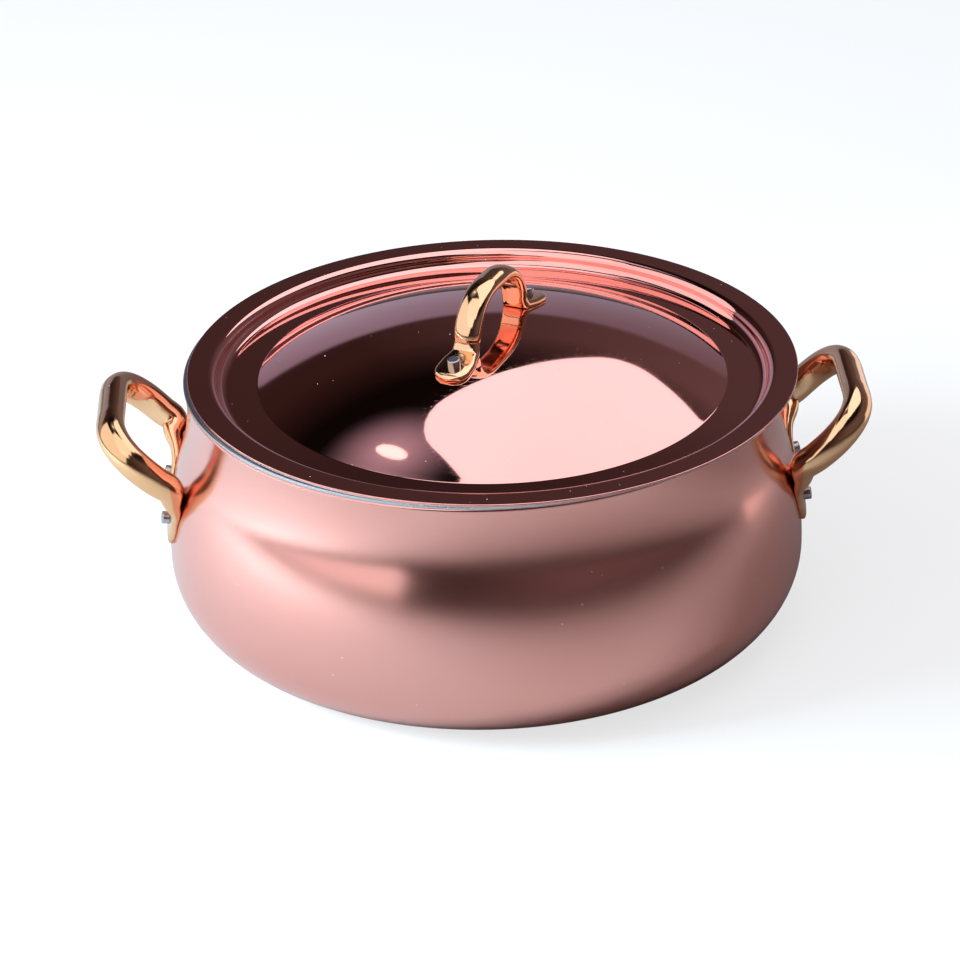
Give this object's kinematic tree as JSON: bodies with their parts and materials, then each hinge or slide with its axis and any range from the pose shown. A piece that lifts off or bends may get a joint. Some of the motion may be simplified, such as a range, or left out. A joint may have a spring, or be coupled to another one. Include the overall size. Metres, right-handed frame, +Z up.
{
  "type": "casserole pan",
  "caption": "Round-bellied copper casserole pan with a steel lining, riveted brass loop handles and a domed lid with an arched brass handle.",
  "frame": {"origin": "middle of the pot's flat base, on the surface it stands on", "axes": "+Z up along the pot's axis, +X towards the right handle, +Y away from the viewer"},
  "size_m": [0.3004, 0.25, 0.1403],
  "materials": {
    "pot_copper": "polished copper, softly brushed round the wall",
    "lid_copper": "mirror-polished copper",
    "steel_lining": "satin stainless steel",
    "brass": "polished cast brass",
    "rivet_steel": "turned steel"
  },
  "bodies": {
    "pot": {"pot_shell": "pot_copper", "pot_lining": "steel_lining", "left_handle": "brass", "right_handle": "brass", "left_front_rivet": "rivet_steel", "left_back_rivet": "rivet_steel", "right_front_rivet": "rivet_steel", "right_back_rivet": "rivet_steel"},
    "lid": {"lid_shell": "lid_copper", "lid_lining": "steel_lining", "lid_handle": "brass", "lid_front_rivet": "rivet_steel", "lid_back_rivet": "rivet_steel"}
  },
  "joints": [
    {"name": "lid_lift", "type": "slide", "parent": "pot", "child": "lid", "axis": [0, 0, 1], "range_m": [0, 0.1]}
  ]
}
